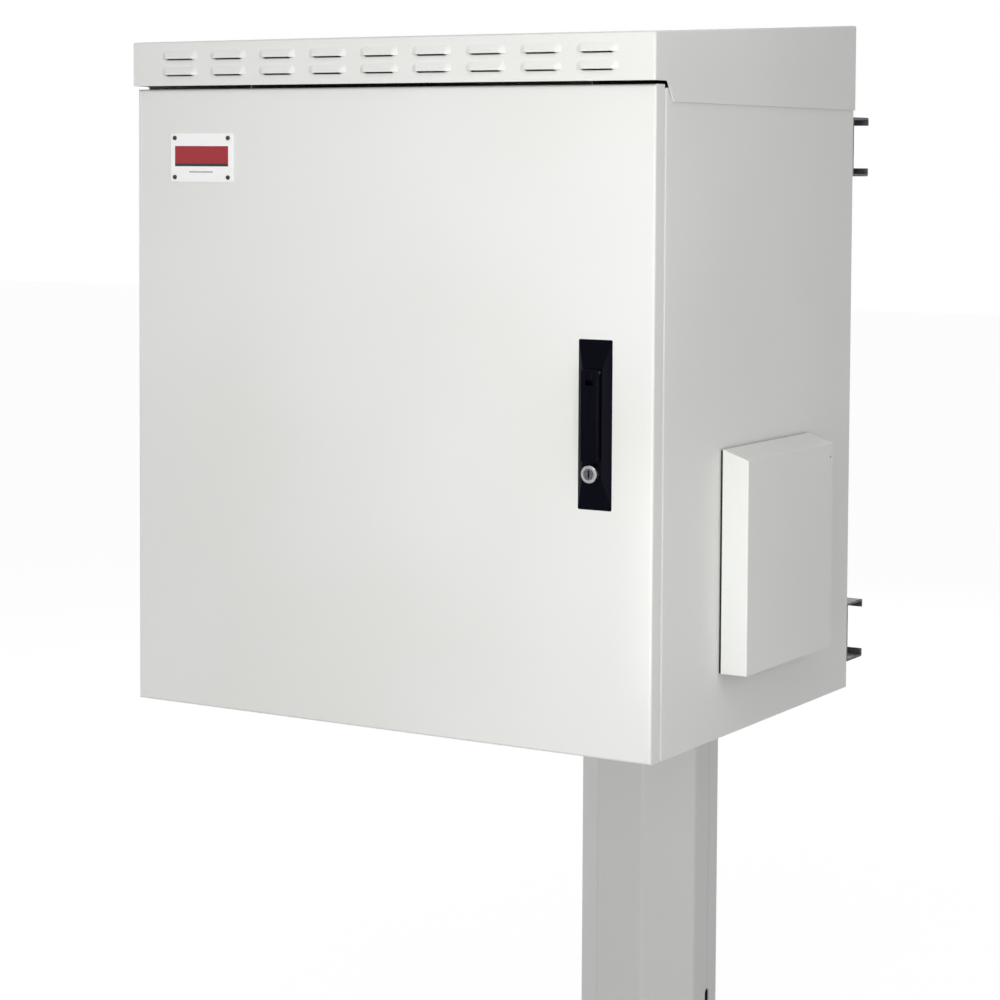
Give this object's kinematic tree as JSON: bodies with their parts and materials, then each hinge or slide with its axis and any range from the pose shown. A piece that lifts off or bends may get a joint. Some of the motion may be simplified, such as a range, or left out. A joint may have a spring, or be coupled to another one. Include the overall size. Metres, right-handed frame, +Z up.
{
  "type": "outdoor rack cabinet on a post",
  "caption": "Outdoor equipment cabinet with a louvred rain roof, side vent hood and rack-and-pinion lock, carried on an octagonal post by two channel rails.",
  "frame": {"origin": "middle of the post's foot", "axes": "+Z up along the post, the door faces -Y, +X to the right"},
  "size_m": [0.6322, 0.6658, 1.1843],
  "materials": {
    "cabinet_paint": "satin powder coat",
    "post_paint": "satin powder coat",
    "zinc": "zinc plated",
    "rail_zinc": "dull galvanised",
    "zinc_bright": "bright zinc",
    "bright_steel": "nickel plated",
    "dark_steel": "dark rivet heads",
    "handle_black": "satin black polyamide",
    "seal_rubber": "matt",
    "seal_foam": "foamed gasket",
    "fan_plastic": "moulded",
    "filter_fibre": "fibre mat",
    "gland_plastic": "polyamide",
    "badge_white": "gloss plate"
  },
  "bodies": {
    "cabinet": {"post_front_shell": "post_paint", "post_rear_shell": "post_paint", "post_cap": "post_paint", "clamp_lower": "zinc", "clamp_upper": "zinc", "clamp_bolts": "zinc_bright", "channel_nuts": "zinc_bright", "rail_lower": "rail_zinc", "rail_upper": "rail_zinc", "rail_bolts": "zinc_bright", "rail_nuts": "zinc_bright", "body_shell": "cabinet_paint", "roof_cover": "cabinet_paint", "roof_brackets": "zinc", "cover_screws": "zinc_bright", "rack_front_left": "zinc", "rack_front_right": "zinc", "rack_rear_left": "zinc", "rack_rear_right": "zinc", "depth_rail_lower_left": "zinc", "depth_rail_lower_right": "zinc", "depth_rail_upper_left": "zinc", "depth_rail_upper_right": "zinc", "rack_bolts": "zinc_bright", "hood_cover": "cabinet_paint", "hood_gasket": "seal_rubber", "filter_frame": "fan_plastic", "filter_mat": "filter_fibre", "fan_housing": "fan_plastic", "fan_guard": "zinc_bright", "fan_screws": "zinc_bright", "gland_plate": "zinc", "gland_bodies": "gland_plastic", "gland_caps": "gland_plastic", "gland_seals": "seal_rubber", "gland_locknuts": "gland_plastic", "earth_stud": "zinc_bright", "hinge_arms": "zinc", "hinge_screws": "zinc_bright"},
    "door": {"door_panel": "cabinet_paint", "door_gasket": "seal_foam", "door_stiffeners": "cabinet_paint", "badge_plate": "badge_white", "badge_rivets": "dark_steel", "hinge_knuckles": "zinc", "hinge_pins": "zinc_bright", "handle_base": "handle_black", "handle_nuts": "zinc_bright", "key_cylinder": "bright_steel", "lock_box": "zinc", "rod_guides": "gland_plastic"},
    "handle_shaft": {"handle_hub": "handle_black", "handle_pin": "bright_steel", "lock_pinion": "zinc_bright"},
    "lever": {"handle_lever": "handle_black"},
    "key": {"key_plug": "bright_steel", "key_cam": "zinc"},
    "upper_rod": {"lock_rod_upper": "zinc"},
    "lower_rod": {"lock_rod_lower": "zinc"},
    "fan": {"fan_rotor": "fan_plastic"}
  },
  "joints": [
    {"name": "door_swing", "type": "hinge", "parent": "cabinet", "child": "door", "pos_m": [-0.2945, -0.567, 0.7955], "axis": [0, 0, -1], "range_deg": [0, 100]},
    {"name": "handle_turn", "type": "hinge", "parent": "door", "child": "handle_shaft", "pos_m": [0.239, -0.574, 0.838], "axis": [0, 1, 0], "range_deg": [0, 90]},
    {"name": "handle_lift", "type": "hinge", "parent": "handle_shaft", "child": "lever", "pos_m": [0.239, -0.5834, 0.844], "axis": [-1, 0, 0], "range_deg": [0, 30]},
    {"name": "key_turn", "type": "hinge", "parent": "door", "child": "key", "pos_m": [0.239, -0.574, 0.749], "axis": [0, 1, 0], "range_deg": [0, 90]},
    {"name": "upper_rod_slide", "type": "slide", "parent": "door", "child": "upper_rod", "axis": [0, 0, -1], "range_m": [0, 0.01178]},
    {"name": "lower_rod_slide", "type": "slide", "parent": "door", "child": "lower_rod", "axis": [0, 0, 1], "range_m": [0, 0.01178]},
    {"name": "fan_spin", "type": "hinge", "parent": "cabinet", "child": "fan", "pos_m": [0.285, -0.333, 0.646], "axis": [1, 0, 0], "continuous": true}
  ],
  "couplings": [
    {"joint": "upper_rod_slide", "follows": "handle_turn", "m_per_rad": 0.0075},
    {"joint": "lower_rod_slide", "follows": "handle_turn", "m_per_rad": 0.0075}
  ]
}
